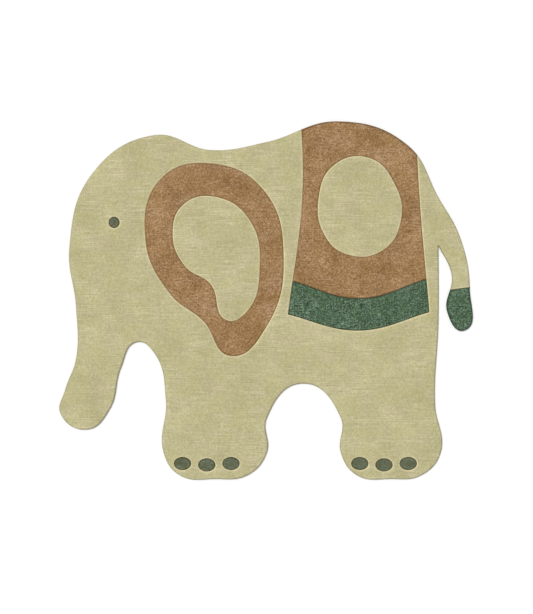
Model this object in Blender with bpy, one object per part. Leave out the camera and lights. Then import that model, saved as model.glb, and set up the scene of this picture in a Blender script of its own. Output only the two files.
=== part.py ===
"""A flat kids' rug in the outline of a plain elephant, seen from the side with its trunk to the left.

The rug is tufted through one canvas and trimmed, so it is one solid that lies on its flat underside.
A round groove is carved into the pile along the edge of every colour field: the ear and its inner
patch, the saddle cloth with its panel and border, the tail's tuft, the eye and the toenails.
Metres, +Z up, the origin on the floor under the middle of the rug's box.
"""

import math
from collections import namedtuple

import bmesh
import bpy
import numpy as np

# The rug's size over all
RUG_LENGTH = 1.80  # from the trunk to the tail, along X
RUG_WIDTH = 1.56  # from the feet to the back, along Y
RUG_THICKNESS = 0.013  # canvas and pile together
RIM_ROUND = 0.005  # radius of the pile's trimmed top edge
RIM_SEGMENTS = 2

# The carved groove: a round cut whose middle lies just above the pile
GROOVE_RADIUS = 0.0045
GROOVE_RISE = 0.0005
OPEN_GROOVE_RISE = 0.0009  # a groove that ends in another is a little shallower than it
GROOVE_SIDES = 8
RUN_OUT = 0.03  # how far the tuft's groove runs on past the tail's two sides

# Steps along a curve and round an oval
STEP_LENGTH = 0.028
FEWEST_STEPS = 3
HANDLE_SHARE = 0.39  # length of a curve's handle as a share of its chord
NAIL_STEPS = 16
EYE_STEPS = 12

# Points nearer to each other than this are one point
SAME_PLACE = 0.00001
WELD_DISTANCE = 0.00005  # after the grooves are cut

# Both feet are drawn by one rule, from the heel to the toes
SOLE_LEVEL = -0.785
ANKLE_LEVEL = -0.67
SOLE_SPRING = 0.017  # how far the sole's ends rise above its middle
HEEL_ROUND = 0.085
TOE_ROUND = 0.07
HIND_HEEL, HIND_TOE = 0.775, 0.33
FORE_HEEL, FORE_TOE = 0.0, -0.46

# Three toenails stand side by side on each foot
NAIL_COUNT = 3
NAIL_HALF_LENGTH = 0.038
NAIL_HALF_HEIGHT = 0.028
NAIL_SPACING = 0.108
FIRST_NAIL_FROM_TOE = 0.085
NAIL_LEVEL = -0.712
NAIL_SAG = 0.012  # how much lower the middle nails stand

EYE_PLACE = (-0.68, 0.33)
EYE_RADIUS = 0.024

# The yarn colour that most of the rug has, as linear red, green and blue
SAGE = (0.515, 0.479, 0.270, 1.0)

Turn = namedtuple("Turn", "place across up kind", defaults=("smooth",))

HEAD_AND_BACK = [
    Turn("brow", -0.78, 0.54),
    Turn("crown of the head", -0.50, 0.71),
    Turn("nape", -0.25, 0.645),
    Turn("shoulder", 0.00, 0.68),
    Turn("top of the back", 0.32, 0.77),
    Turn("rump", 0.63, 0.665),
]

TAIL = [
    Turn("root of the tail, above", 0.765, 0.44),
    Turn("outer side of the tail", 0.86, 0.27),
    Turn("outer side of the tuft", 0.905, 0.04),
    Turn("tip of the tuft", 0.88, -0.14),
    Turn("inner side of the tuft", 0.805, -0.06),
    Turn("inner side of the tail", 0.825, 0.10),
    Turn("root of the tail, below", 0.765, 0.23, "corner"),
]

THIGH = [
    Turn("thigh", 0.765, -0.10),
    Turn("hock", 0.75, -0.46),
]

BELLY = [
    Turn("hind knee", 0.33, -0.52),
    Turn("belly", 0.16, -0.37),
    Turn("fore elbow", 0.00, -0.52),
]

CHEST_AND_TRUNK = [
    Turn("fore knee", -0.45, -0.44),
    Turn("chest", -0.50, -0.24),
    Turn("chin", -0.58, -0.19),
    Turn("back of the trunk", -0.65, -0.30),
    Turn("back of the trunk, low", -0.70, -0.48),
    Turn("end of the trunk, below", -0.80, -0.57),
    Turn("end of the trunk", -0.92, -0.50),
    Turn("end of the trunk, above", -0.90, -0.40),
    Turn("front of the trunk, low", -0.85, -0.26),
    Turn("front of the trunk", -0.85, -0.04),
    Turn("face", -0.88, 0.22),
]

EAR = [
    Turn("front of the ear, high", -0.47, 0.52),
    Turn("top of the ear", -0.24, 0.585),
    Turn("back of the ear, high", -0.01, 0.465),
    Turn("back of the ear", 0.075, 0.18),
    Turn("back of the lobe", 0.00, -0.12),
    Turn("lobe", -0.16, -0.25),
    Turn("front of the lobe", -0.28, -0.10),
    Turn("front of the ear, low", -0.43, 0.02),
    Turn("front of the ear", -0.54, 0.26),
]

EAR_PATCH = [
    Turn("front, high", -0.37, 0.41),
    Turn("top", -0.22, 0.44),
    Turn("back, high", -0.075, 0.34),
    Turn("back", -0.03, 0.14),
    Turn("back, low", -0.09, -0.06),
    Turn("bottom", -0.18, -0.095),
    Turn("front, low", -0.25, 0.06),
    Turn("front, middle", -0.365, 0.14),
    Turn("front", -0.42, 0.28),
]

CLOTH = [
    Turn("above the back, fore", 0.15, 0.86, "corner"),
    Turn("above the back, hind", 0.66, 0.86, "corner"),
    Turn("hind edge", 0.68, 0.45),
    Turn("hind corner", 0.725, -0.06, "corner"),
    Turn("hem", 0.41, -0.14),
    Turn("fore corner", 0.095, -0.07, "corner"),
    Turn("fore edge", 0.16, 0.45),
]

BORDER_TOP = [
    Turn("fore end", 0.115, 0.075),
    Turn("middle", 0.415, 0.00),
    Turn("hind end", 0.715, 0.085),
]

PANEL = [
    Turn("top, fore", 0.30, 0.58),
    Turn("top", 0.46, 0.61),
    Turn("hind, high", 0.57, 0.50),
    Turn("hind", 0.60, 0.345),
    Turn("bottom, hind", 0.52, 0.21),
    Turn("bottom", 0.36, 0.19),
    Turn("fore, low", 0.26, 0.27),
    Turn("fore", 0.23, 0.43),
]

TUFT_TOP = [
    Turn("inner side", 0.80, 0.035),
    Turn("outer side", 0.92, 0.05),
]


def foot(heel, toe):
    """The turns round the underside of a foot, from its heel to its toes."""
    return [
        Turn("heel", heel, ANKLE_LEVEL),
        Turn("sole at the heel", heel - HEEL_ROUND, SOLE_LEVEL + SOLE_SPRING),
        Turn("sole", (heel + toe) / 2, SOLE_LEVEL),
        Turn("sole at the toes", toe + TOE_ROUND, SOLE_LEVEL + SOLE_SPRING),
        Turn("toes", toe, ANKLE_LEVEL),
    ]


def oval(middle, half_length, half_height, steps):
    """Points round an oval."""
    angles = np.arange(steps) * 2 * math.pi / steps
    return np.stack(
        [middle[0] + half_length * np.cos(angles), middle[1] + half_height * np.sin(angles)],
        axis=1,
    )


def smooth_line(turns, closed=True):
    """Points along a curve through the turns; it is smooth at all but the corners."""
    places = np.array([(turn.across, turn.up) for turn in turns])
    count = len(turns)

    def direction(index):
        if not closed and index in (0, count - 1):
            run = places[min(index + 1, count - 1)] - places[max(index - 1, 0)]
            return run / np.linalg.norm(run)
        before = places[index] - places[index - 1]
        after = places[(index + 1) % count] - places[index]
        run = before / np.linalg.norm(before) + after / np.linalg.norm(after)
        return run / np.linalg.norm(run)

    def handle(index, chord):
        if turns[index].kind == "corner":
            return chord / 3
        return direction(index) * np.linalg.norm(chord) * HANDLE_SHARE

    points = []
    for start in range(count if closed else count - 1):
        end = (start + 1) % count
        chord = places[end] - places[start]
        steps = max(FEWEST_STEPS, round(float(np.linalg.norm(chord)) / STEP_LENGTH))
        share = (np.arange(steps) / steps)[:, None]
        points.append(
            (1 - share) ** 3 * places[start]
            + 3 * (1 - share) ** 2 * share * (places[start] + handle(start, chord))
            + 3 * (1 - share) * share**2 * (places[end] - handle(end, chord))
            + share**3 * places[end]
        )
    if not closed:
        points.append(places[-1:])
    return np.concatenate(points)


def run_on(line, distance):
    """The open line with both its ends carried straight on by the distance."""
    first = line[0] - line[1]
    last = line[-1] - line[-2]
    return np.concatenate(
        [
            [line[0] + first / np.linalg.norm(first) * distance],
            line,
            [line[-1] + last / np.linalg.norm(last) * distance],
        ]
    )


def drawn_outline():
    """The rug's outline as drawn, all the way round from the brow."""
    turns = HEAD_AND_BACK + TAIL + THIGH
    turns = turns + foot(HIND_HEEL, HIND_TOE) + BELLY
    turns = turns + foot(FORE_HEEL, FORE_TOE) + CHEST_AND_TRUNK
    return smooth_line(turns)


def drawn_nails():
    """The outlines of the toenails, three on each foot."""
    nails = []
    for toe in (FORE_TOE, HIND_TOE):
        for number in range(NAIL_COUNT):
            across = toe + FIRST_NAIL_FROM_TOE + number * NAIL_SPACING
            up = NAIL_LEVEL - NAIL_SAG * math.sin(math.pi * (number + 0.5) / NAIL_COUNT)
            nails.append(oval((across, up), NAIL_HALF_LENGTH, NAIL_HALF_HEIGHT, NAIL_STEPS))
    return nails


def to_size(line, lowest, highest):
    """The line moved and scaled as the outline is, so that the rug has its length and width."""
    middle = (lowest + highest) / 2
    scale = np.array([RUG_LENGTH, RUG_WIDTH]) / (highest - lowest)
    return (line - middle) * scale


def curve_object(name, line, level, closed=True):
    """A curve object that follows the line at a level."""
    curve = bpy.data.curves.new(name, "CURVE")
    spline = curve.splines.new("POLY")
    spline.points.add(len(line) - 1)
    for point, (across, up) in zip(spline.points, line):
        point.co = (across, up, 0.0, 1.0)
    spline.use_cyclic_u = closed
    drawn_curve = bpy.data.objects.new(name, curve)
    drawn_curve.location.z = level
    bpy.context.scene.collection.objects.link(drawn_curve)
    return drawn_curve


def as_mesh(drawn_curve, collection):
    """A mesh object in place of the curve, with its loose caps welded."""
    bpy.context.view_layer.update()
    evaluated = drawn_curve.evaluated_get(bpy.context.evaluated_depsgraph_get())
    mesh = bpy.data.meshes.new_from_object(evaluated)
    name = drawn_curve.name
    place = drawn_curve.matrix_world.copy()
    bpy.data.objects.remove(drawn_curve)
    welded = bmesh.new()
    welded.from_mesh(mesh)
    bmesh.ops.remove_doubles(welded, verts=welded.verts, dist=SAME_PLACE)
    bmesh.ops.recalc_face_normals(welded, faces=welded.faces)
    welded.to_mesh(mesh)
    welded.free()
    solid = bpy.data.objects.new(name, mesh)
    solid.matrix_world = place
    collection.objects.link(solid)
    return solid


def yarn_material():
    material = bpy.data.materials.new("sage pile")
    material.use_nodes = True
    shader = material.node_tree.nodes["Principled BSDF"]
    shader.inputs["Base Color"].default_value = SAGE
    shader.inputs["Roughness"].default_value = 0.95
    shader.inputs["Metallic"].default_value = 0.0
    return material


def round_rim(mesh):
    """Rounds the pile's top edge all the way round the outline."""
    solid = bmesh.new()
    solid.from_mesh(mesh)
    bmesh.ops.dissolve_limit(
        solid, angle_limit=math.radians(0.5), verts=solid.verts, edges=solid.edges
    )
    top = max(vertex.co.z for vertex in solid.verts)
    rim = [
        edge
        for edge in solid.edges
        if all(top - vertex.co.z < SAME_PLACE for vertex in edge.verts)
        and any(abs(face.normal.z) < SAME_PLACE for face in edge.link_faces)
    ]
    bmesh.ops.bevel(
        solid,
        geom=rim,
        offset=RIM_ROUND,
        offset_type="OFFSET",
        segments=RIM_SEGMENTS,
        profile=0.5,
        affect="EDGES",
    )
    solid.to_mesh(mesh)
    solid.free()


def make_rug(outline, collection):
    """The rug before it is carved."""
    flat = curve_object("rug", outline, RUG_THICKNESS / 2)
    flat.data.dimensions = "2D"
    flat.data.fill_mode = "BOTH"
    flat.data.extrude = RUG_THICKNESS / 2
    rug = as_mesh(flat, collection)
    round_rim(rug.data)
    rug.data.materials.append(yarn_material())
    return rug


def make_groove(name, line, closed, collection):
    """A tube that carves a groove along the line."""
    rise = GROOVE_RISE if closed else OPEN_GROOVE_RISE
    tube = curve_object(name, line, RUG_THICKNESS + rise, closed)
    tube.data.dimensions = "3D"
    tube.data.twist_mode = "Z_UP"
    tube.data.bevel_depth = GROOVE_RADIUS
    tube.data.bevel_resolution = GROOVE_SIDES // 2 - 2
    tube.data.use_fill_caps = True
    cutter = as_mesh(tube, collection)
    cutter.hide_render = True
    cutter.display_type = "WIRE"
    return cutter


def carve(rug, cutter):
    """Cuts one groove out of the rug."""
    cut = rug.modifiers.new(cutter.name, "BOOLEAN")
    cut.operation = "DIFFERENCE"
    cut.solver = "EXACT"
    cut.object = cutter


def main():
    for old in list(bpy.data.objects):
        bpy.data.objects.remove(old)
    parts = bpy.data.collections.new("elephant rug")
    cutters = bpy.data.collections.new("cutters")
    for collection in (parts, cutters):
        bpy.context.scene.collection.children.link(collection)

    drawn = drawn_outline()
    lowest, highest = drawn.min(axis=0), drawn.max(axis=0)
    rug = make_rug(to_size(drawn, lowest, highest), parts)

    closed_fields = {
        "ear edge": smooth_line(EAR),
        "ear patch edge": smooth_line(EAR_PATCH),
        "saddle cloth edge": smooth_line(CLOTH),
        "saddle panel edge": smooth_line(PANEL),
        "eye edge": oval(EYE_PLACE, EYE_RADIUS, EYE_RADIUS, EYE_STEPS),
    }
    for number, nail in enumerate(drawn_nails(), start=1):
        closed_fields[f"toenail {number} edge"] = nail
    for name, line in closed_fields.items():
        carve(rug, make_groove(name, to_size(line, lowest, highest), True, cutters))

    border = smooth_line(BORDER_TOP, closed=False)
    tuft = run_on(smooth_line(TUFT_TOP, closed=False), RUN_OUT)
    for name, line in {"border edge": border, "tail tuft edge": tuft}.items():
        carve(rug, make_groove(name, to_size(line, lowest, highest), False, cutters))
    weld = rug.modifiers.new("weld", "WELD")
    weld.merge_threshold = WELD_DISTANCE


main()
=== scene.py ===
import math

import bpy
import numpy as np
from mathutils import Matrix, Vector, kdtree
from mathutils.geometry import delaunay_2d_cdt


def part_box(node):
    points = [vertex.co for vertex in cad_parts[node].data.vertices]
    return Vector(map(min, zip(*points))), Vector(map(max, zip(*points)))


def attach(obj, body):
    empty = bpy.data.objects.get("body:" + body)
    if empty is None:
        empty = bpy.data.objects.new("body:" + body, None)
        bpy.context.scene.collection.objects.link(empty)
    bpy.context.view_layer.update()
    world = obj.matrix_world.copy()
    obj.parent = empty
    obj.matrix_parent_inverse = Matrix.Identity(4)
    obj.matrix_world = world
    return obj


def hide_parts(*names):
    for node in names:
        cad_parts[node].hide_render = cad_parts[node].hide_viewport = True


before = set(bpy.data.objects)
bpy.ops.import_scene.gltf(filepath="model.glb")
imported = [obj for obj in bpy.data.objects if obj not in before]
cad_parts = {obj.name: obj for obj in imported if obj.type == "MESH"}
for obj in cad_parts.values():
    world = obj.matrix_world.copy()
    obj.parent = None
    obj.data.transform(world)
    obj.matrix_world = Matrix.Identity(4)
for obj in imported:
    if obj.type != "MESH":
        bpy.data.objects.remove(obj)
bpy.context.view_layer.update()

# An elephant rug, tufted in four yarns and carved along every colour edge.
# Each yarn field is its own pile mesh on one canvas; together they stand for the rug's solid.

rugLow, rugHigh = (np.array(corner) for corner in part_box("rug"))
print("frame loaded, the rug is", (rugHigh - rugLow).round(3), "m")

# the drawing
# metres on the pattern, as (place, across, up); a fourth word marks a sharp turn
headAndBack = [
    ("brow", -0.78, 0.54),
    ("crown of the head", -0.50, 0.71),
    ("nape", -0.25, 0.645),
    ("shoulder", 0.00, 0.68),
    ("top of the back", 0.32, 0.77),
    ("rump", 0.63, 0.665),
]
tail = [
    ("root of the tail, above", 0.765, 0.44),
    ("outer side of the tail", 0.86, 0.27),
    ("outer side of the tuft", 0.905, 0.04),
    ("tip of the tuft", 0.88, -0.14),
    ("inner side of the tuft", 0.805, -0.06),
    ("inner side of the tail", 0.825, 0.10),
    ("root of the tail, below", 0.765, 0.23, "sharp"),
]
thigh = [("thigh", 0.765, -0.10), ("hock", 0.75, -0.46)]
belly = [("hind knee", 0.33, -0.52), ("belly", 0.16, -0.37), ("fore elbow", 0.00, -0.52)]
chestAndTrunk = [
    ("fore knee", -0.45, -0.44),
    ("chest", -0.50, -0.24),
    ("chin", -0.58, -0.19),
    ("back of the trunk", -0.65, -0.30),
    ("back of the trunk, low", -0.70, -0.48),
    ("end of the trunk, below", -0.80, -0.57),
    ("end of the trunk", -0.92, -0.50),
    ("end of the trunk, above", -0.90, -0.40),
    ("front of the trunk, low", -0.85, -0.26),
    ("front of the trunk", -0.85, -0.04),
    ("face", -0.88, 0.22),
]
ear = [
    ("front, high", -0.47, 0.52),
    ("top", -0.24, 0.585),
    ("back, high", -0.01, 0.465),
    ("back", 0.075, 0.18),
    ("back of the lobe", 0.00, -0.12),
    ("lobe", -0.16, -0.25),
    ("front of the lobe", -0.28, -0.10),
    ("front, low", -0.43, 0.02),
    ("front", -0.54, 0.26),
]
earPatch = [
    ("front, high", -0.37, 0.41),
    ("top", -0.22, 0.44),
    ("back, high", -0.075, 0.34),
    ("back", -0.03, 0.14),
    ("back, low", -0.09, -0.06),
    ("bottom", -0.18, -0.095),
    ("front, low", -0.25, 0.06),
    ("front, middle", -0.365, 0.14),
    ("front", -0.42, 0.28),
]
clothEdge = [
    ("above the back, hind", 0.66, 0.86, "sharp"),
    ("hind edge", 0.68, 0.45),
    ("hind corner", 0.725, -0.06, "sharp"),
    ("hem", 0.41, -0.14),
    ("fore corner", 0.095, -0.07, "sharp"),
    ("fore edge", 0.16, 0.45),
    ("above the back, fore", 0.15, 0.86, "sharp"),
]
borderTop = [("fore end", 0.115, 0.075), ("middle", 0.415, 0.00), ("hind end", 0.715, 0.085)]
panel = [
    ("top, fore", 0.30, 0.58),
    ("top", 0.46, 0.61),
    ("hind, high", 0.57, 0.50),
    ("hind", 0.60, 0.345),
    ("bottom, hind", 0.52, 0.21),
    ("bottom", 0.36, 0.19),
    ("fore, low", 0.26, 0.27),
    ("fore", 0.23, 0.43),
]
tuftTop = [("inner side", 0.80, 0.035), ("outer side", 0.92, 0.05)]
feet = {
    "sole": -0.785, "ankle": -0.67, "spring": 0.017, "heelRound": 0.085, "toeRound": 0.07,
    "hind": (0.775, 0.33), "fore": (0.0, -0.46),
}
nails = {
    "count": 3, "halfLength": 0.038, "halfHeight": 0.028, "spacing": 0.108,
    "fromToe": 0.085, "level": -0.712, "sag": 0.012,
}
eyeSpot = {"middle": (-0.68, 0.33), "radius": 0.024}

drawStep = 0.004  # between points along a drawn line
handleShare = 0.39  # a curve handle's length over its chord
overrun = 0.03  # added to both ends of a dividing line, so that it crosses the outline
noTurn = 1e-12  # stands for zero where two lines are parallel


def foot(heel, toe):
    spring = feet["sole"] + feet["spring"]
    return [
        ("heel", heel, feet["ankle"]),
        ("sole at the heel", heel - feet["heelRound"], spring),
        ("sole", (heel + toe) / 2, feet["sole"]),
        ("sole at the toes", toe + feet["toeRound"], spring),
        ("toes", toe, feet["ankle"]),
    ]


def curveThrough(turns, closed=True):
    places = np.array([turn[1:3] for turn in turns])
    count = len(turns)

    def handle(i, chord):
        if len(turns[i]) > 3:
            return chord / 3
        if not closed and i in (0, count - 1):
            run = places[min(i + 1, count - 1)] - places[max(i - 1, 0)]
        else:
            before, after = places[i] - places[i - 1], places[(i + 1) % count] - places[i]
            run = before / np.linalg.norm(before) + after / np.linalg.norm(after)
        return run / np.linalg.norm(run) * np.linalg.norm(chord) * handleShare

    line = []
    for i in range(count if closed else count - 1):
        j = (i + 1) % count
        chord = places[j] - places[i]
        steps = max(3, round(float(np.linalg.norm(chord)) / drawStep))
        t = (np.arange(steps) / steps)[:, None]
        line.append(
            (1 - t) ** 3 * places[i]
            + 3 * (1 - t) ** 2 * t * (places[i] + handle(i, chord))
            + 3 * (1 - t) * t**2 * (places[j] - handle(j, chord))
            + t**3 * places[j]
        )
    if not closed:
        line.append(places[-1:])
    return np.concatenate(line)


def oval(middle, halfLength, halfHeight):
    steps = round(2 * math.pi * halfLength / drawStep)
    angles = np.arange(steps) * 2 * math.pi / steps
    return np.array(middle) + np.stack(
        [halfLength * np.cos(angles), halfHeight * np.sin(angles)], axis=1
    )


def runOn(line):
    first, last = line[0] - line[1], line[-1] - line[-2]
    return np.concatenate([
        [line[0] + first / np.linalg.norm(first) * overrun],
        line,
        [line[-1] + last / np.linalg.norm(last) * overrun],
    ])


drawnOutline = curveThrough(
    headAndBack + tail + thigh + foot(*feet["hind"]) + belly + foot(*feet["fore"]) + chestAndTrunk
)
drawnLow, drawnHigh = drawnOutline.min(axis=0), drawnOutline.max(axis=0)


# the drawing is laid on the rug's own box
def toSize(line):
    share = (line - drawnLow) / (drawnHigh - drawnLow)
    return rugLow[:2] + share * (rugHigh - rugLow)[:2]


# the fields' edges
# a loop is rows of x, y and rim, where rim is 1 on the rug's outer edge and 0 along a carved line
def asLoop(line, rim):
    return np.column_stack([line, np.full(len(line), float(rim))])


def isIn(loop, place):
    x, y = loop[:, 0], loop[:, 1]
    nextX, nextY = np.roll(x, -1), np.roll(y, -1)
    spans = (y > place[1]) != (nextY > place[1])
    crossX = x[spans] + (place[1] - y[spans]) * (nextX - x)[spans] / (nextY - y)[spans]
    return bool((crossX > place[0]).sum() % 2)


# cuts a loop in two along a line that crosses it twice; the half round the place comes first
def splitLoop(loop, line, place):
    a, r = loop[:, None, :2], (np.roll(loop, -1, axis=0) - loop)[:, None, :2]
    c, s = line[None, :-1], (line[1:] - line[:-1])[None]
    turn = r[..., 0] * s[..., 1] - r[..., 1] * s[..., 0]
    turn = np.where(turn == 0, noTurn, turn)
    gap = c - a
    alongLoop = (gap[..., 0] * s[..., 1] - gap[..., 1] * s[..., 0]) / turn
    alongLine = (gap[..., 0] * r[..., 1] - gap[..., 1] * r[..., 0]) / turn
    hits = np.argwhere((alongLoop >= 0) & (alongLoop < 1) & (alongLine >= 0) & (alongLine < 1))
    hits = hits[np.argsort(hits[:, 1])]
    assert len(hits) == 2, f"the line crosses the loop {len(hits)} times"
    (i0, j0), (i1, j1) = hits
    ends = [(a[i, 0] + alongLoop[i, j] * r[i, 0]) for i, j in hits]
    inside = asLoop(np.concatenate([[ends[0]], line[j0 + 1 : j1 + 1], [ends[1]]]), 0)
    turned = np.roll(loop, -(i0 + 1), axis=0)
    first = turned[: (i1 - i0) % len(loop)]
    second = turned[(i1 - i0) % len(loop) :]
    halves = [np.concatenate([first, inside[::-1]]), np.concatenate([second, inside])]
    return halves if isIn(halves[0], place) else halves[::-1]


# above zero where the loop runs anticlockwise
def areaOf(loop):
    x, y = loop[:, 0], loop[:, 1]
    return (x * np.roll(y, -1) - np.roll(x, -1) * y).sum() / 2


def anticlockwise(loop, wanted=True):
    return loop if (areaOf(loop) > 0) == wanted else loop[::-1]


wholeRug = asLoop(toSize(drawnOutline), 1)
placesInside = {"cloth": (0.42, 0.30), "tuft": (0.86, -0.05), "border": (0.41, -0.07)}
inCloth, inTuft, inBorder = toSize(np.array(list(placesInside.values())))
cloth, rest = splitLoop(wholeRug, toSize(curveThrough(clothEdge, closed=False)), inCloth)
tuft, body = splitLoop(rest, toSize(runOn(curveThrough(tuftTop, closed=False))), inTuft)
border, saddle = splitLoop(cloth, toSize(runOn(curveThrough(borderTop, closed=False))), inBorder)
earLoop = asLoop(toSize(curveThrough(ear)), 0)
patchLoop = asLoop(toSize(curveThrough(earPatch)), 0)
panelLoop = asLoop(toSize(curveThrough(panel)), 0)
eyeLoop = asLoop(toSize(oval(eyeSpot["middle"], eyeSpot["radius"], eyeSpot["radius"])), 0)
nailLoops = []
for heel, toe in (feet["fore"], feet["hind"]):
    for number in range(nails["count"]):
        middle = (
            toe + nails["fromToe"] + number * nails["spacing"],
            nails["level"] - nails["sag"] * math.sin(math.pi * (number + 0.5) / nails["count"]),
        )
        nailLoops.append(asLoop(toSize(oval(middle, nails["halfLength"], nails["halfHeight"])), 0))
print("edges drawn, the outline has", len(wholeRug), "points")


# the pile stands on the canvas and is trimmed back along every edge, as (inward, level)
canvasTop = 0.0015
pileTop = rugHigh[2] - 0.0003
wallTrim = [(0.0003, canvasTop + 0.0001), (0.0001, 0.0045), (0.0001, 0.0086)]
shoulderTrim = [(0.0, 0.0086), (0.0011, 0.0106), (0.0025, 0.0120), (0.0046, pileTop)]
cornerTurn = math.radians(25)  # a sharper turn than this stays a corner
leastLean = 0.66  # limits how much further a corner steps inward
fineStep = 0.0005  # between the edge points that distances are measured to
leastArea = 1e-9  # m2, less than any true triangle
sameSpot = 1e-8  # nearer points would be merged
testedAtOnce = 1000  # triangles
noiseSide = 256  # cells along a side of the random table
noiseSeeds = {"drift": 7, "patchy": 8, "swell": 11, "alongRows": 13, "acrossRows": 17}

# the creases down a cut side, between one yarn end and the next
creaseLook = {
    "yarnWidth": 0.0039, "rimPoints": 3, "carvedPoints": 1.5,  # points along the edge to a yarn
    "drift": 0.45, "driftSize": 0.011, "patchy": 0.3, "patchSize": 0.006, "sharp": 1.2,
    "onCarved": 0.15,  # how much of them a carved edge shows
}

# where tufts may stand, in shares of their spacing, or of an inset from the edge
tuftRoom = {"offRow": 0.22, "apart": 0.55, "ringClear": 0.93}


def alongStretch(stretch, steps):
    lengths = np.linalg.norm(np.diff(stretch[:, :2], axis=0), axis=1)
    along = np.concatenate([[0], np.cumsum(lengths)])
    places = np.arange(steps) * along[-1] / steps
    return np.stack([np.interp(places, along, stretch[:, k]) for k in range(stretch.shape[1])], axis=1)


def lengthOf(stretch):
    return float(np.linalg.norm(np.diff(stretch[:, :2], axis=0), axis=1).sum())


# the loop at even steps from corner to corner
def evenLoop(loop, spacing):
    ahead = np.roll(loop, -1, axis=0)[:, :2] - loop[:, :2]
    heading = np.arctan2(ahead[:, 1], ahead[:, 0])
    turn = (heading - np.roll(heading, 1) + math.pi) % (2 * math.pi) - math.pi
    corners = np.flatnonzero(np.abs(turn) > cornerTurn)
    first = corners[0] if len(corners) else 0
    closed = np.concatenate([loop[first:], loop[: first + 1]])
    bounds = np.append(corners - first, len(loop)) if len(corners) else [0, len(loop)]
    stretches = [closed[low : high + 1] for low, high in zip(bounds[:-1], bounds[1:])]
    return np.concatenate(
        [alongStretch(stretch, max(2, round(lengthOf(stretch) / spacing))) for stretch in stretches]
    )


# into the field, which lies left of its edge; a corner steps further, to keep the same distance
def inwardOf(edge):
    ahead = np.roll(edge, -1, axis=0)[:, :2] - edge[:, :2]
    ahead /= np.linalg.norm(ahead, axis=1)[:, None]
    run = ahead + np.roll(ahead, 1, axis=0)
    run /= np.linalg.norm(run, axis=1)[:, None]
    lean = np.maximum((run * ahead).sum(axis=1), leastLean)
    return np.stack([-run[:, 1], run[:, 0]], axis=1) / lean[:, None]


# smooth noise from -1 to 1; size is a length, or one for x and one for y
def softNoise(places, size, seed):
    grid = np.random.default_rng(seed).uniform(-1, 1, (noiseSide, noiseSide))
    cell = places / np.array(size)
    low = np.floor(cell).astype(int)
    part = cell - low
    part = part * part * (3 - 2 * part)
    i, j = low[:, 0] % noiseSide, low[:, 1] % noiseSide
    iNext, jNext = (i + 1) % noiseSide, (j + 1) % noiseSide
    near = grid[i, j] * (1 - part[:, 0]) + grid[iNext, j] * part[:, 0]
    far = grid[i, jNext] * (1 - part[:, 0]) + grid[iNext, jNext] * part[:, 0]
    return near * (1 - part[:, 1]) + far * part[:, 1]


# how far the edge draws in between one yarn end and the next, 0 to 1, and not beside a corner
def creasesAlong(edge):
    ahead = np.roll(edge, -1, axis=0)[:, :2] - edge[:, :2]
    steps = np.linalg.norm(ahead, axis=1)
    ahead /= steps[:, None]
    corner = (ahead * np.roll(ahead, 1, axis=0)).sum(axis=1) < math.cos(cornerTurn)
    for shift in (-1, 1, -2, 2):
        corner |= np.roll(corner, shift)  # in all, three points to each side
    yarns = np.cumsum(steps) / creaseLook["yarnWidth"]
    drift = softNoise(edge[:, :2], creaseLook["driftSize"], noiseSeeds["drift"])
    yarns = yarns + drift * creaseLook["drift"]
    patches = softNoise(edge[:, :2], creaseLook["patchSize"], noiseSeeds["patchy"])
    uneven = (1 - creaseLook["patchy"]) + creaseLook["patchy"] * patches
    return (1 - np.abs(np.sin(math.pi * yarns))) ** creaseLook["sharp"] * uneven * ~corner


# rows of points between the loops, each a little off its place, as tufts are
def latticeIn(loops, spacing, seed):
    ends = np.concatenate([loop[:, :2] for loop in loops])
    nexts = np.concatenate([np.roll(loop, -1, axis=0)[:, :2] for loop in loops])
    rowStep = spacing * math.sqrt(3) / 2
    found = []
    for number, y in enumerate(np.arange(ends[:, 1].min() + rowStep / 2, ends[:, 1].max(), rowStep)):
        spans = (ends[:, 1] > y) != (nexts[:, 1] > y)
        low, high = ends[spans], nexts[spans]
        crossings = np.sort(low[:, 0] + (y - low[:, 1]) * (high - low)[:, 0] / (high - low)[:, 1])
        shift = spacing / 2 * (number % 2)
        for left, right in zip(crossings[::2], crossings[1::2]):
            xs = np.arange(math.ceil((left - shift) / spacing) * spacing + shift, right, spacing)
            found.append(np.stack([xs, np.full(len(xs), y)], axis=1))
    found = np.concatenate(found)
    offRow = tuftRoom["offRow"]
    return found + np.random.default_rng(seed).uniform(-offRow, offRow, found.shape) * spacing


def distanceTo(places, targets, farthest=0.05):
    if len(targets) == 0:
        return np.full(len(places), farthest)
    tree = kdtree.KDTree(len(targets))
    for i, (x, y) in enumerate(targets[:, :2].tolist()):
        tree.insert((x, y, 0), i)
    tree.balance()
    return np.minimum([tree.find((x, y, 0))[2] for x, y in places.tolist()], farthest)


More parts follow.
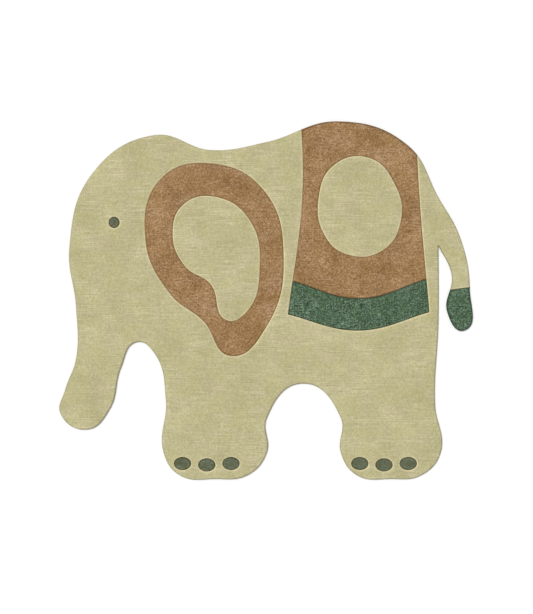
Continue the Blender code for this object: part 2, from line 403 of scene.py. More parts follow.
# triangles between the places, inside the first loop and outside the others
def trianglesIn(loops, others):
    places = np.concatenate(loops + [others])
    edges, start = [], 0
    for loop in loops:
        ids = start + np.arange(len(loop))
        edges += list(zip(ids.tolist(), np.roll(ids, -1).tolist()))
        start += len(loop)
    vectors = [Vector(place) for place in places.tolist()]
    made = delaunay_2d_cdt(vectors, edges, [], 0, sameSpot, False)
    assert len(made[0]) == len(places), f"{len(places)} points became {len(made[0])}"
    faces = np.array(made[2])
    middles = places[faces].mean(axis=1)
    inside = np.zeros(len(faces), bool)
    order = np.argsort(middles[:, 1])
    for first in range(0, len(order), testedAtOnce):
        part = order[first : first + testedAtOnce]
        px, py = middles[part, 0][:, None], middles[part, 1][:, None]
        for loop in loops:
            ahead = np.roll(loop, -1, axis=0)
            near = (np.minimum(loop[:, 1], ahead[:, 1]) <= py.max()) & (
                np.maximum(loop[:, 1], ahead[:, 1]) >= py.min()
            )
            (x, y), (nextX, nextY) = loop[near].T, ahead[near].T
            spans = (y[None] > py) != (nextY[None] > py)
            slope = (nextX - x) / np.where(nextY == y, 1, nextY - y)
            crossX = x[None] + (py - y[None]) * slope[None]
            inside[part] ^= (spans & (crossX > px)).sum(axis=1) % 2 == 1
    faces = faces[inside]

    # a sliver between points in line stays only where a real triangle leans on its long side
    corners = places[faces]
    (ax, ay), (bx, by) = (corners[:, 1] - corners[:, 0]).T, (corners[:, 2] - corners[:, 0]).T
    slivers = np.abs(ax * by - ay * bx) < 2 * leastArea
    realSides = set()
    if slivers.any():
        pairs = faces[~slivers][:, [0, 1, 1, 2, 2, 0]].reshape(-1, 2)
        realSides = {frozenset(pair) for pair in pairs.tolist()}
    for i in np.flatnonzero(slivers):
        longest = int(np.linalg.norm(corners[i] - np.roll(corners[i], -1, axis=0), axis=1).argmax())
        longSide = frozenset(faces[i, [longest, (longest + 1) % 3]].tolist())
        slivers[i] = longSide not in realSides
    return faces[~slivers]


def buildMesh(name, places, quads, tris, material, values=None):
    mesh = bpy.data.meshes.new(name)
    mesh.from_pydata(places.tolist(), [], quads.tolist() + tris.tolist())
    mesh.shade_smooth()
    for label, numbers in (values or {}).items():
        layer = mesh.attributes.new(label, "FLOAT", "POINT")
        layer.data.foreach_set("value", numbers.astype(np.float32))
    mesh.materials.append(material)
    piece = bpy.data.objects.new(name, mesh)
    bpy.context.scene.collection.objects.link(piece)
    return piece


# the quads between one ring of a wall and the next
def wallQuads(start, count):
    low = start + np.arange(count)
    ahead = start + (np.arange(count) + 1) % count
    return np.stack([low, ahead, ahead + count, low + count], axis=1)


def buildPile(name, outer, holes, look, material):
    spacing = look["spacing"]
    loops = [anticlockwise(outer)] + [anticlockwise(hole, wanted=False) for hole in holes]
    edges = []
    for loop in loops:
        toYarn = creaseLook["rimPoints"] if loop[:, 2].any() else creaseLook["carvedPoints"]
        edges.append(evenLoop(loop, creaseLook["yarnWidth"] / toYarn))
    rings, levels, creases, quads, bottoms, tops = [], [], [], [], [], []
    onCarved = creaseLook["onCarved"]
    start = 0
    for edge in edges:
        inward = inwardOf(edge)
        crease = creasesAlong(edge) * (onCarved + (1 - onCarved) * edge[:, 2])
        for step, (inset, level) in enumerate(wallTrim):
            inset = inset + crease * look["creases"] * step / 2
            rings.append(edge[:, :2] + inward * inset[:, None])
            levels.append(np.full(len(edge), level))
            creases.append(crease)
            if step < len(wallTrim) - 1:
                quads.append(wallQuads(start, len(edge)))
            ids = start + np.arange(len(edge))
            start += len(edge)
            if step == 0:
                bottoms.append(ids)
        tops.append(ids)
    wall = np.concatenate(rings)
    topLoops = [wall[ids] for ids in tops]
    fineTops = np.concatenate([
        alongStretch(np.concatenate([loop, loop[:1]]), round(lengthOf(loop) / fineStep))
        for loop in topLoops
    ])

    # rings along the shoulder, kept where they don't run into each other, then rows of tufts
    shoulder = []
    for inset, _ in shoulderTrim[1:]:
        for loop in topLoops:
            ring = loop + inwardOf(loop) * inset
            shoulder.append(ring[distanceTo(ring, fineTops) > tuftRoom["ringClear"] * inset])
    shoulder = np.concatenate(shoulder)
    cells = np.unique(np.round(shoulder / (2 * fineStep)), axis=0, return_index=True)[1]
    shoulder = shoulder[np.sort(cells)]
    lattice = latticeIn(topLoops, spacing, look["seed"])
    taken = np.concatenate([fineTops[::4], shoulder])
    lattice = lattice[distanceTo(lattice, taken) > tuftRoom["apart"] * spacing]
    inner = np.concatenate([shoulder, lattice])

    # the trimmed top is never quite level, and each tuft stands a little higher or lower
    fromEdge = distanceTo(inner, fineTops)
    insets, trimLevels = zip(*shoulderTrim)
    innerLevel = np.interp(fromEdge, insets, trimLevels)
    rng = np.random.default_rng(look["seed"] + 1)
    long, short = look["rowLength"], look["rowWidth"]
    uneven = softNoise(inner, look["swellSize"], noiseSeeds["swell"]) * look["swell"]
    uneven += softNoise(inner, look["lumpSize"], look["seed"] + 2) * look["lumps"]
    uneven += softNoise(inner, (long, short), noiseSeeds["alongRows"]) * look["rows"]
    uneven += softNoise(inner, (short, long), noiseSeeds["acrossRows"]) * look["rows"]
    uneven += rng.uniform(-1, 1, len(inner)) * look["tuftUneven"]
    innerLevel += uneven * np.clip(fromEdge / insets[-1], 0.2, 1)  # the shoulder is more even

    flat = np.concatenate([wall, inner])
    top = np.concatenate(tops + [len(wall) + np.arange(len(inner))])[trianglesIn(topLoops, inner)]
    bottomLoops = [wall[ids] for ids in bottoms]
    bottom = np.concatenate(bottoms)[trianglesIn(bottomLoops, np.empty((0, 2)))][:, ::-1]
    fineEdges = np.concatenate([
        alongStretch(np.concatenate([edge, edge[:1]]), round(lengthOf(edge) / (2 * fineStep)))
        for edge in edges
    ])
    piece = buildMesh(
        name, np.column_stack([flat, np.concatenate(levels + [innerLevel])]),
        np.concatenate(quads), np.concatenate([top, bottom]), material,
        {
            "fromRim": distanceTo(flat, fineEdges[fineEdges[:, 2] > 0.5]),
            "fromCarved": distanceTo(flat, fineEdges[fineEdges[:, 2] <= 0.5]),
            "crease": np.concatenate(creases + [np.zeros(len(inner))]),
        },
    )
    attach(piece, "root")
    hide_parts("rug")
    print(f"{name}: {2 * sum(map(len, quads)) + len(top) + len(bottom)} triangles")
    return piece


# shader groups
def newGroup(name, inputs, outputs):
    group = bpy.data.node_groups.new(name, "ShaderNodeTree")
    for label, kind, value in inputs:
        socket = group.interface.new_socket(label, in_out="INPUT", socket_type=f"NodeSocket{kind}")
        if value is not None:
            socket.default_value = value
    for label, kind in outputs:
        group.interface.new_socket(label, in_out="OUTPUT", socket_type=f"NodeSocket{kind}")
    return group, group.nodes.new("NodeGroupInput").outputs, group.nodes.new("NodeGroupOutput").inputs


def plug(tree, socket, value):
    if isinstance(value, bpy.types.NodeSocket):
        tree.links.new(value, socket)
    else:
        socket.default_value = value


def addMath(tree, operation, *values, clamp=False):
    node = tree.nodes.new("ShaderNodeMath")
    node.operation = operation
    node.use_clamp = clamp
    for socket, value in zip(node.inputs, values):
        plug(tree, socket, value)
    return node.outputs[0]


# the base plus an amount of how far a value from 0 to 1 is off its middle
def addSwing(tree, value, amount, base):
    return addMath(tree, "MULTIPLY_ADD", addMath(tree, "SUBTRACT", value, 0.5), amount, base)


def addVectorMath(tree, operation, *values):
    node = tree.nodes.new("ShaderNodeVectorMath")
    node.operation = operation
    for socket, value in zip(node.inputs, values):
        if value is not None:
            plug(tree, socket, value)
    return node.outputs[0]


def addMix(tree, share, first, second):
    node = tree.nodes.new("ShaderNodeMix")
    node.data_type = "RGBA"
    for number, value in ((0, share), (6, first), (7, second)):
        plug(tree, node.inputs[number], value)
    return node.outputs[2]


def addNoise(tree, where, size, detail=2.0, roughness=0.5, output="Fac"):
    node = tree.nodes.new("ShaderNodeTexNoise")
    node.inputs["Detail"].default_value = detail
    node.inputs["Roughness"].default_value = roughness
    tree.links.new(where, node.inputs["Vector"])
    scale = 1 / size if isinstance(size, float) else addMath(tree, "DIVIDE", 1.0, size)
    plug(tree, node.inputs["Scale"], scale)
    return node.outputs[output]


def addRange(tree, value, low, high, toLow=0.0, toHigh=1.0, smooth=False):
    node = tree.nodes.new("ShaderNodeMapRange")
    node.interpolation_type = "SMOOTHSTEP" if smooth else "LINEAR"
    for number, given in enumerate((value, low, high, toLow, toHigh)):
        plug(tree, node.inputs[number], given)
    return node.outputs[0]


def addGroup(tree, group, **values):
    node = tree.nodes.new("ShaderNodeGroup")
    node.node_tree = group
    for label, value in values.items():
        plug(tree, node.inputs[label.replace("_", " ")], value)
    return node.outputs


# in shares of a tuft's or a fibre's size; the crown and the two steps add up to the height
grainForm = {
    "upWall": 0.25,  # yarn runs up a wall, so it is stretched that way
    "tuftDrift": 1.1, "fibreDrift": 0.9,  # how far a tuft's edge strays
    "strand": 0.2,  # a fibre's width over its length, on a level top
    "crown": 0.6, "tuftStep": 0.3, "fibreStep": 1.9,
    "ragged": 1.4, "gapFrom": 0.40, "gapTo": 0.95,  # where a tuft ends and the gap is deepest
}


# cut yarn ends with fuzzy sides, the gaps between them, and fibres that lie their own way on each
def pileGrainGroup():
    group, given, out = newGroup(
        "pile grain",
        [("Vector", "Vector", None), ("Tuft Size", "Float", 0.003), ("Fibre Size", "Float", 0.0008)],
        [("Height", "Float"), ("Gap", "Float"), ("Tuft Tone", "Float"), ("Fibre Tone", "Float")],
    )
    upright = addVectorMath(group, "MULTIPLY", given["Vector"], (1.0, 1.0, grainForm["upWall"]))
    tuftScale = addMath(group, "DIVIDE", 1.0, given["Tuft Size"])
    place = addVectorMath(group, "SCALE", upright, None, None, tuftScale)
    for size, amount in (("Tuft Size", "tuftDrift"), ("Fibre Size", "fibreDrift")):
        cloud = addNoise(group, upright, given[size], 2.0, 0.6, "Color")
        drift = addVectorMath(group, "SUBTRACT", cloud, (0.5,) * 3)
        place = addVectorMath(group, "MULTIPLY_ADD", drift, (grainForm[amount],) * 3, place)
    tufts = group.nodes.new("ShaderNodeTexVoronoi")
    tufts.inputs["Scale"].default_value = 1.0
    group.links.new(place, tufts.inputs["Vector"])
    split = group.nodes.new("ShaderNodeSeparateColor")
    group.links.new(tufts.outputs["Color"], split.inputs[0])

    lie = group.nodes.new("ShaderNodeVectorRotate")
    lie.rotation_type = "Z_AXIS"
    group.links.new(upright, lie.inputs["Vector"])
    group.links.new(addMath(group, "MULTIPLY", split.outputs[2], math.tau), lie.inputs["Angle"])
    facing = group.nodes.new("ShaderNodeSeparateXYZ")
    group.links.new(group.nodes.new("ShaderNodeNewGeometry").outputs["Normal"], facing.inputs[0])
    across = addRange(group, facing.outputs[2], 0.5, 0.9, 1.0, grainForm["strand"])
    stretch = group.nodes.new("ShaderNodeCombineXYZ")
    for socket, value in zip(stretch.inputs, (1.0, across, 1.0)):
        plug(group, socket, value)
    strands = addVectorMath(group, "MULTIPLY", lie.outputs[0], stretch.outputs[0])
    fibres = addNoise(group, strands, given["Fibre Size"], 3.0, 0.65)

    reach, crown = tufts.outputs["Distance"], grainForm["crown"]
    height = addMath(group, "MULTIPLY_ADD", addMath(group, "MULTIPLY", reach, reach), -crown, crown)
    height = addMath(group, "MULTIPLY_ADD", split.outputs[1], grainForm["tuftStep"], height)
    height = addMath(group, "MULTIPLY_ADD", fibres, grainForm["fibreStep"], height)
    ragged = addSwing(group, fibres, -grainForm["ragged"], reach)
    gap = addRange(group, ragged, grainForm["gapFrom"], grainForm["gapTo"], smooth=True)
    group.links.new(height, out["Height"])
    group.links.new(gap, out["Gap"])
    group.links.new(split.outputs[0], out["Tuft Tone"])
    group.links.new(fibres, out["Fibre Tone"])
    return group


wornPatch = {
    "size": 0.06, "from": 0.36, "to": 0.64,
    "weakest": 0.15, "strongest": 1.95,  # a streak's strength off and on one
    "tint": 0.7,  # how far the dye shifts from one to the next
}


# long faint streaks along the rows of tufts, fainter ones across them, and the patches they show in
def rowStreaksGroup():
    group, given, out = newGroup(
        "row streaks",
        [
            ("Vector", "Vector", None), ("Length", "Float", 0.12), ("Width", "Float", 0.004),
            ("Along", "Float", 0.4), ("Across", "Float", 0.2), ("Paler", "Float", 0.0),
        ],
        [("Tone", "Float"), ("Worn", "Float")],
    )
    long = addMath(group, "DIVIDE", 1.0, given["Length"])
    short = addMath(group, "DIVIDE", 1.0, given["Width"])
    tone = 0.0
    for x, y, amount in ((long, short, given["Along"]), (short, long, given["Across"])):
        join = group.nodes.new("ShaderNodeCombineXYZ")
        plug(group, join.inputs[0], x)
        plug(group, join.inputs[1], y)
        stretched = addVectorMath(group, "MULTIPLY", given["Vector"], join.outputs[0])
        tone = addSwing(group, addNoise(group, stretched, 1.0, 2.0, 0.6), amount, tone)

    # they come and go, in patches that are twice as long along the rows, and paler where they show
    longer = addVectorMath(group, "MULTIPLY", given["Vector"], (0.5, 1.0, 1.0))
    cloud = addNoise(group, longer, wornPatch["size"], 2.0)
    worn = addRange(group, cloud, wornPatch["from"], wornPatch["to"])
    paler = addSwing(group, worn, given["Paler"], 0.0)
    strength = addRange(group, worn, 0.0, 1.0, wornPatch["weakest"], wornPatch["strongest"])
    group.links.new(addMath(group, "MULTIPLY_ADD", tone, strength, paler), out["Tone"])
    group.links.new(worn, out["Worn"])
    return group


lineForm = {"wobbleSize": 0.009, "narrowest": 0.7, "widest": 1.3}  # in shares of the line's width


# a band along a carved or trimmed edge, where the pile leans away; it places the painted edge shade and
# highlight, and the rubbed wear beside an edge
def edgeLineGroup():
    group, given, out = newGroup(
        "edge line",
        [("Vector", "Vector", None), ("Distance", "Float", 0.03), ("Width", "Float", 0.005)],
        [("Line", "Float")],
    )
    cloud = addNoise(group, given["Vector"], lineForm["wobbleSize"], 2.0)
    wobble = addRange(group, cloud, 0.3, 0.7, lineForm["narrowest"], lineForm["widest"])
    reach = addMath(group, "MULTIPLY", given["Width"], wobble)
    group.links.new(addRange(group, given["Distance"], 0.0, reach, 1.0, 0.0, smooth=True), out["Line"])
    return group


# a yarn spun of a darker and a lighter wool, its dye drifting slowly from one tint to another
def yarnMixGroup():
    group, given, out = newGroup(
        "yarn mix",
        [
            ("Vector", "Vector", None), ("Yarn", "Color", (0.5, 0.5, 0.5, 1)),
            ("Tint", "Color", (0.5, 0.5, 0.5, 1)), ("Dark", "Color", (0.3, 0.3, 0.3, 1)),
            ("Light", "Color", (0.7, 0.7, 0.7, 1)), ("Tint Size", "Float", 0.08),
            ("Fleck Size", "Float", 0.008), ("Fleck", "Float", 0.5),
            ("Cloud Size", "Float", 0.2), ("Cloud", "Float", 0.3), ("Tone", "Float", 0.0),
            ("Worn", "Float", 0.5),
        ],
        [("Color", "Color")],
    )
    tint = addRange(group, addNoise(group, given["Vector"], given["Tint Size"], 2.0), 0.35, 0.65)
    tint = addSwing(group, given["Worn"], wornPatch["tint"], tint)
    tone = given["Tone"]
    for size, detail, amount in (("Fleck Size", 2.0, "Fleck"), ("Cloud Size", 3.0, "Cloud")):
        patches = addNoise(group, given["Vector"], given[size], detail, 0.6)
        tone = addSwing(group, patches, given[amount], tone)
    colour = addMix(group, tint, given["Yarn"], given["Tint"])
    colour = addMix(group, addRange(group, tone, 0.0, -1.0), colour, given["Dark"])
    colour = addMix(group, addRange(group, tone, 0.0, 1.0), colour, given["Light"])
    group.links.new(colour, out["Color"])
    return group


pileGrain, rowStreaks = pileGrainGroup(), rowStreaksGroup()
edgeLine, yarnMix = edgeLineGroup(), yarnMixGroup()
print("shader groups built")


def newMaterial(name):
    material = bpy.data.materials.new(name)
    material.use_nodes = True
    tree = material.node_tree
    return material, tree, tree.nodes["Principled BSDF"]


def addBump(tree, shader, height, distance, strength):
    bump = tree.nodes.new("ShaderNodeBump")
    bump.inputs["Distance"].default_value = distance
    bump.inputs["Strength"].default_value = strength
    tree.links.new(height, bump.inputs["Height"])
    tree.links.new(bump.outputs[0], shader.inputs["Normal"])


def attribute(tree, name):
    node = tree.nodes.new("ShaderNodeAttribute")
    node.attribute_name = name
    return node.outputs["Fac"]


rubbedPatch = {"size": 0.05, "from": 0.42, "to": 0.62}
gloss = {
    "specular": 0.12, "sheenRoughness": 0.5,
    "deep": 0.7, "crest": 1.6,  # heights in the grain; deep down the pile is fully rough
}


def pileMaterial(name, look):
    material, tree, shader = newMaterial(name)
    where = tree.nodes.new("ShaderNodeTexCoord").outputs["Object"]
    grain = addGroup(tree, pileGrain, Vector=where, Tuft_Size=look["tuft"], Fibre_Size=look["fibre"])
    streaks = addGroup(
        tree, rowStreaks, Vector=where, Length=look["streakLength"], Width=look["streakWidth"],
        Along=look["along"], Across=look["across"], Paler=look["paler"],
    )
    tone = streaks["Tone"]
    tone = addSwing(tree, grain["Tuft Tone"], look["tuftTone"], tone)
    tone = addSwing(tree, grain["Fibre Tone"], look["fibreTone"], tone)
    # painted shade in the gaps between the tufts
    tone = addMath(tree, "MULTIPLY_ADD", grain["Gap"], -look["gap"], tone)

    # rubbed lighter here and there beside an edge, and painted shade in its creases
    distances = {source: attribute(tree, source) for source in ("fromCarved", "fromRim")}
    nearest = addMath(tree, "MINIMUM", *distances.values())
    beside = addGroup(tree, edgeLine, Vector=where, Distance=nearest, Width=look["wearWidth"])
    cloud = addNoise(tree, where, rubbedPatch["size"], 2.0)
    patches = addRange(tree, cloud, rubbedPatch["from"], rubbedPatch["to"])
    rubbed = addMath(tree, "MULTIPLY", beside["Line"], patches)
    tone = addMath(tree, "MULTIPLY_ADD", rubbed, look["wear"], tone)
    # painted shade in the creases down a cut side
    tone = addMath(tree, "MULTIPLY_ADD", attribute(tree, "crease"), -look["creaseShade"], tone)
    yarn = addGroup(
        tree, yarnMix, Vector=where, Yarn=look["yarn"], Tint=look["tint"], Dark=look["dark"],
        Light=look["light"], Tint_Size=look["tintSize"], Fleck_Size=look["fleckSize"],
        Fleck=look["fleck"], Cloud_Size=look["cloudSize"], Cloud=look["cloud"], Tone=tone,
        Worn=streaks["Worn"],
    )
    colour = yarn["Color"]
    # painted shade along the rim and along carved edges, where the pile falls away; on the sage, a
    # painted highlight along carved edges
    for source, kind in (("fromCarved", "carvedEdgePaintedShading"), ("fromRim", "rimPaintedShade")):
        paintedEdgeColour, strength, width = look[kind]
        line = addGroup(tree, edgeLine, Vector=where, Distance=distances[source], Width=width)
        colour = addMix(tree, addMath(tree, "MULTIPLY", line["Line"], strength), colour, paintedEdgeColour)
    deep, crest = gloss["deep"], gloss["crest"]
    roughness = addRange(tree, grain["Height"], deep, crest, 1.0, look["roughness"])
    tree.links.new(colour, shader.inputs["Base Color"])
    tree.links.new(roughness, shader.inputs["Roughness"])
    addBump(tree, shader, grain["Height"], look["bumpHeight"], look["bump"])
    shader.inputs["Specular IOR Level"].default_value = gloss["specular"]
    shader.inputs["Sheen Weight"].default_value = look["sheen"]
    shader.inputs["Sheen Roughness"].default_value = gloss["sheenRoughness"]
    return material


# the sage yarn; each painted edge line is its colour, strength and width: a painted highlight along
# carved edges, a painted shade along the rim
sageYarn = {
    "yarn": (0.531, 0.494, 0.263, 1), "tint": (0.537, 0.482, 0.285, 1), "tintSize": 0.07,
    "dark": (0.316, 0.291, 0.138, 1), "light": (0.814, 0.762, 0.479, 1),
    "fleckSize": 0.0095, "fleck": 1.02, "cloudSize": 0.16, "cloud": 0.82,
    "tuft": 0.0029, "fibre": 0.0007, "tuftTone": 0.42, "fibreTone": 1.5, "gap": 0.26, "creaseShade": 1.1,
    "streakLength": 0.12, "streakWidth": 0.0046, "along": 1.05, "across": 0.20, "paler": 0.08,
    "carvedEdgePaintedShading": ((0.90, 0.785, 0.463, 1), 0.78, 0.0080),
    "rimPaintedShade": ((0.285, 0.264, 0.137, 1), 0.74, 0.0065),
    "wear": 0.20, "wearWidth": 0.028, "roughness": 0.88,
    "bump": 0.75, "bumpHeight": 0.0012, "sheen": 0.12,
}
sagePile = pileMaterial("sage pile", sageYarn)

# the brown heather yarn
brownYarn = {
    "yarn": (0.352, 0.206, 0.083, 1), "tint": (0.346, 0.205, 0.099, 1), "tintSize": 0.09,
    "dark": (0.170, 0.081, 0.025, 1), "light": (0.608, 0.409, 0.242, 1),
    "fleckSize": 0.0074, "fleck": 2.5, "cloudSize": 0.11, "cloud": 1.5,
    "tuft": 0.0029, "fibre": 0.0007, "tuftTone": 0.6, "fibreTone": 1.3, "gap": 0.35, "creaseShade": 1.1,
    "streakLength": 0.05, "streakWidth": 0.0050, "along": 1.2, "across": 0.1, "paler": 0.08,
    # painted shade along carved edges and along the rim, each as colour, strength and width
    "carvedEdgePaintedShading": ((0.190, 0.095, 0.032, 1), 0.40, 0.0095),
    "rimPaintedShade": ((0.100, 0.052, 0.018, 1), 0.85, 0.0120),
    "wear": 0.25, "wearWidth": 0.024, "roughness": 0.90,
    "bump": 0.75, "bumpHeight": 0.0011, "sheen": 0.12,
}
brownPile = pileMaterial("brown pile", brownYarn)

# the green heather yarn
greenYarn = {
    "yarn": (0.075, 0.138, 0.069, 1), "tint": (0.084, 0.132, 0.084, 1), "tintSize": 0.05,
    "dark": (0.014, 0.036, 0.014, 1), "light": (0.240, 0.350, 0.232, 1),
    "fleckSize": 0.0058, "fleck": 3.0, "cloudSize": 0.07, "cloud": 0.7,
    "tuft": 0.0029, "fibre": 0.0007, "tuftTone": 1.15, "fibreTone": 1.8, "gap": 0.40, "creaseShade": 1.1,
    "streakLength": 0.04, "streakWidth": 0.0050, "along": 1.3, "across": 1.2, "paler": 0.08,
    # painted shade along carved edges and along the rim, each as colour, strength and width
    "carvedEdgePaintedShading": ((0.020, 0.034, 0.012, 1), 0.66, 0.0090),
    "rimPaintedShade": ((0.016, 0.036, 0.018, 1), 0.86, 0.0125),
    "wear": 0.25, "wearWidth": 0.024, "roughness": 0.90,
    "bump": 0.75, "bumpHeight": 0.0011, "sheen": 0.10,
}
greenPile = pileMaterial("green pile", greenYarn)

# the olive yarn of the eye and toenails
oliveYarn = {
    "yarn": (0.119, 0.132, 0.073, 1), "tint": (0.115, 0.136, 0.084, 1), "tintSize": 0.03,
    "dark": (0.047, 0.054, 0.026, 1), "light": (0.270, 0.296, 0.193, 1),
    "fleckSize": 0.0080, "fleck": 1.2, "cloudSize": 0.03, "cloud": 0.6,
    "tuft": 0.0029, "fibre": 0.0007, "tuftTone": 0.6, "fibreTone": 0.9, "gap": 0.3, "creaseShade": 1.1,
    "streakLength": 0.03, "streakWidth": 0.0050, "along": 0.4, "across": 0.3, "paler": 0.08,
    # painted shade along carved edges and along the rim, each as colour, strength and width
    "carvedEdgePaintedShading": ((0.026, 0.030, 0.016, 1), 0.75, 0.0060),
    "rimPaintedShade": ((0.026, 0.030, 0.016, 1), 0.75, 0.0060),
    "wear": 0.25, "wearWidth": 0.024, "roughness": 0.90,
    "bump": 0.75, "bumpHeight": 0.0010, "sheen": 0.10,
}
olivePile = pileMaterial("olive pile", oliveYarn)
print("yarn materials ready")

# the sage fields
sageField = {
    "spacing": 0.0052, "seed": 20, "lumpSize": 0.012, "lumps": 0.00018, "creases": 0.0009,
    "swell": 0.00022, "swellSize": 0.27, "rows": 0.00016,
    "rowLength": 0.08, "rowWidth": 0.0075, "tuftUneven": 0.00020,
}
sageBody = buildPile("sageBody", body, [earLoop, eyeLoop] + nailLoops, sageField, sagePile)
patchField = dict(sageField, spacing=0.0034, seed=30)
earPatchPile = buildPile("earPatch", patchLoop, [], patchField, sagePile)
panelPile = buildPile("saddlePanel", panelLoop, [], patchField, sagePile)

# the brown fields
brownField = {
    "spacing": 0.0028, "seed": 40, "lumpSize": 0.0085, "lumps": 0.00036, "creases": 0.0009,
    "swell": 0.00022, "swellSize": 0.27, "rows": 0.00006,
    "rowLength": 0.05, "rowWidth": 0.0075, "tuftUneven": 0.00026,
}
earPile = buildPile("earRing", earLoop, [patchLoop], brownField, brownPile)
saddlePile = buildPile("saddle", saddle, [panelLoop], brownField, brownPile)

# the green fields
greenField = dict(brownField, spacing=0.0025, seed=50, lumpSize=0.0078)
borderPile = buildPile("saddleBorder", border, [], greenField, greenPile)
tuftPile = buildPile("tailTuft", tuft, [], greenField, greenPile)

# the eye and the toenails
spotField = dict(brownField, spacing=0.0026, seed=60, lumps=0.00022)
spots = [buildPile("eye", eyeLoop, [], spotField, olivePile)]
for number, loop in enumerate(nailLoops, start=1):
    spots.append(buildPile(f"toenail{number}", loop, [], spotField, olivePile))


# the canvas
canvas = {
    "inset": 0.0004, "edgeSpacing": 0.005, "spacing": 0.016, "apart": 0.5, "seed": 70,
    "trim": [(0.0008, 0.0), (0.0, 0.0005), (0.0, canvasTop - 0.0004), (0.0006, canvasTop)],
    "thread": 0.0018, "weave": 0.42, "slubLength": 0.06, "slubWidth": 0.0020, "slub": 1.3,
    "dustSize": 0.09, "dust": 0.28, "bumpHeight": 0.0004, "bump": 0.6, "specular": 0.2,
    "cotton": (0.560, 0.500, 0.385, 1), "shade": (0.310, 0.262, 0.180, 1), "between": 0.55,
}


def canvasMaterial():
    material, tree, shader = newMaterial("canvas back")
    where = tree.nodes.new("ShaderNodeTexCoord").outputs["Object"]
    split = tree.nodes.new("ShaderNodeSeparateXYZ")
    tree.links.new(where, split.inputs[0])
    turns = math.pi / canvas["thread"]
    waves = [addMath(tree, "SINE", addMath(tree, "MULTIPLY", split.outputs[k], turns)) for k in (0, 1)]
    weave = addMath(tree, "MULTIPLY", waves[0], waves[1])
    slubs = addGroup(
        tree, rowStreaks, Vector=where, Length=canvas["slubLength"], Width=canvas["slubWidth"],
        Along=canvas["slub"], Across=canvas["slub"],
    )
    cloud = addNoise(tree, where, canvas["dustSize"], 4.0, 0.6)
    dust = addRange(tree, cloud, 0.3, 0.7, -canvas["dust"], canvas["dust"])
    shade = addMath(tree, "MULTIPLY_ADD", weave, canvas["weave"], slubs["Tone"])
    shade = addMath(tree, "ADD", addMath(tree, "ADD", shade, dust), canvas["between"], clamp=True)
    colour = addMix(tree, shade, canvas["shade"], canvas["cotton"])
    tree.links.new(colour, shader.inputs["Base Color"])
    tree.links.new(addRange(tree, slubs["Tone"], -0.2, 0.2, 0.80, 0.95), shader.inputs["Roughness"])
    height = addMath(tree, "MULTIPLY_ADD", slubs["Tone"], 1.6, weave)
    addBump(tree, shader, height, canvas["bumpHeight"], canvas["bump"])
    shader.inputs["Specular IOR Level"].default_value = canvas["specular"]
    return material


def buildCanvas():
    edge = evenLoop(anticlockwise(wholeRug), canvas["edgeSpacing"])
    inward = inwardOf(edge)
    count = len(edge)
    trim = canvas["trim"]
    rings = [edge[:, :2] + inward * (canvas["inset"] + inset) for inset, _ in trim]
    quads = [wallQuads(step * count, count) for step in range(len(trim) - 1)]
    lattice = latticeIn([rings[0]], canvas["spacing"], canvas["seed"])
    lattice = lattice[distanceTo(lattice, rings[0], 1.0) > canvas["apart"] * canvas["spacing"]]
    faces = trianglesIn([rings[0]], lattice)
    # the same triangles face down underneath and up on top
    under = np.arange(count), len(trim) * count + np.arange(len(lattice))
    over = under[0] + (len(trim) - 1) * count, under[1] + len(lattice)
    level = [np.full(count, level) for _, level in trim]
    level += [np.zeros(len(lattice)), np.full(len(lattice), canvasTop)]
    tris = np.concatenate([np.concatenate(under)[faces][:, ::-1], np.concatenate(over)[faces]])
    places = np.column_stack([np.concatenate(rings + [lattice, lattice]), np.concatenate(level)])
    return buildMesh("canvasBack", places, np.concatenate(quads), tris, canvasMaterial())


canvasBack = buildCanvas()
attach(canvasBack, "root")
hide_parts("rug")

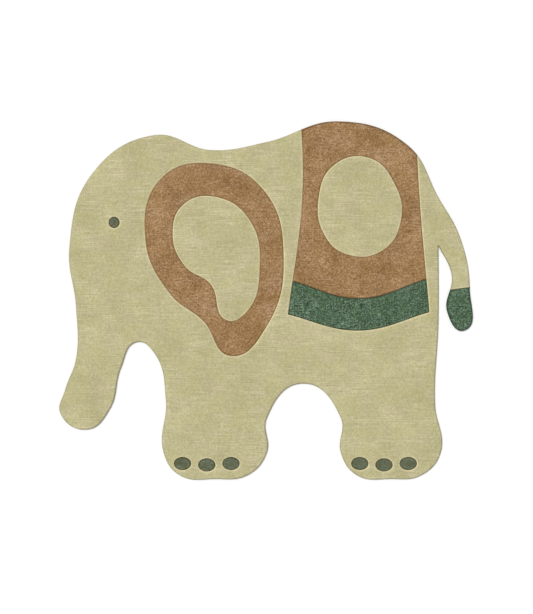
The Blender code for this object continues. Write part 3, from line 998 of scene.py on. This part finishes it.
# floor, light and camera
studio = {
    "floorSide": 60.0, "floorLevel": -0.0002, "floorColour": (0.95, 0.95, 0.95, 1),
    "sky": 0.52, "skySeen": 1.0,
    "sun": 2.03, "sunFrom": (-0.37, 0.30, 1.0), "sunAngle": math.radians(22),
}
floorMesh = bpy.data.meshes.new("floor")
half = studio["floorSide"] / 2
floorCorners = [(-half, -half, 0), (half, -half, 0), (half, half, 0), (-half, half, 0)]
floorMesh.from_pydata(floorCorners, [], [(0, 1, 2, 3)])
floor = bpy.data.objects.new("floor", floorMesh)
floor.location.z = studio["floorLevel"]
floorMaterial, _, floorShader = newMaterial("pale floor")
floorShader.inputs["Base Color"].default_value = studio["floorColour"]
floorShader.inputs["Roughness"].default_value = 0.9
floorShader.inputs["Specular IOR Level"].default_value = 0.1
floorMesh.materials.append(floorMaterial)
bpy.context.scene.collection.objects.link(floor)

# the sky lights the rug softly and looks as pale as the floor
world = bpy.data.worlds.new("studio")
world.use_nodes = True
sky = world.node_tree.nodes["Background"]
sky.inputs["Color"].default_value = (1, 1, 1, 1)
seen = world.node_tree.nodes.new("ShaderNodeLightPath").outputs["Is Camera Ray"]
strength = addRange(world.node_tree, seen, 0.0, 1.0, studio["sky"], studio["skySeen"])
world.node_tree.links.new(strength, sky.inputs["Strength"])
bpy.context.scene.world = world

sun = bpy.data.lights.new("window light", "SUN")
sun.energy = studio["sun"]
sun.angle = studio["sunAngle"]
sunHolder = bpy.data.objects.new("window light", sun)
sunHolder.rotation_euler = (-Vector(studio["sunFrom"])).to_track_quat("-Z", "Y").to_euler()
bpy.context.scene.collection.objects.link(sunHolder)

# the photo is taken from straight above; these are pixels of its frame, and of the rug's box in it
photo = {"width": 533, "height": 614, "left": 59, "right": 473, "top": 121, "bottom": 480}
lens = {"focal": 85.0, "sensor": 36.0}
metresPerPixel = (rugHigh - rugLow)[0] / (photo["right"] - photo["left"])
middle = (rugLow + rugHigh) / 2
aimX = middle[0] + (photo["width"] / 2 - (photo["left"] + photo["right"]) / 2) * metresPerPixel
aimY = middle[1] - (photo["height"] / 2 - (photo["top"] + photo["bottom"]) / 2) * metresPerPixel
lensData = bpy.data.cameras.new("camera")
lensData.lens = lens["focal"]
lensData.sensor_width = lens["sensor"]
camera = bpy.data.objects.new("camera", lensData)
away = photo["height"] * metresPerPixel * lens["focal"] / lens["sensor"]
camera.location = (aimX, aimY, rugHigh[2] + away)
bpy.context.scene.collection.objects.link(camera)
bpy.context.scene.camera = camera
bpy.context.scene.view_settings.view_transform = "Standard"
bpy.context.scene.view_settings.look = "None"
print("studio ready")
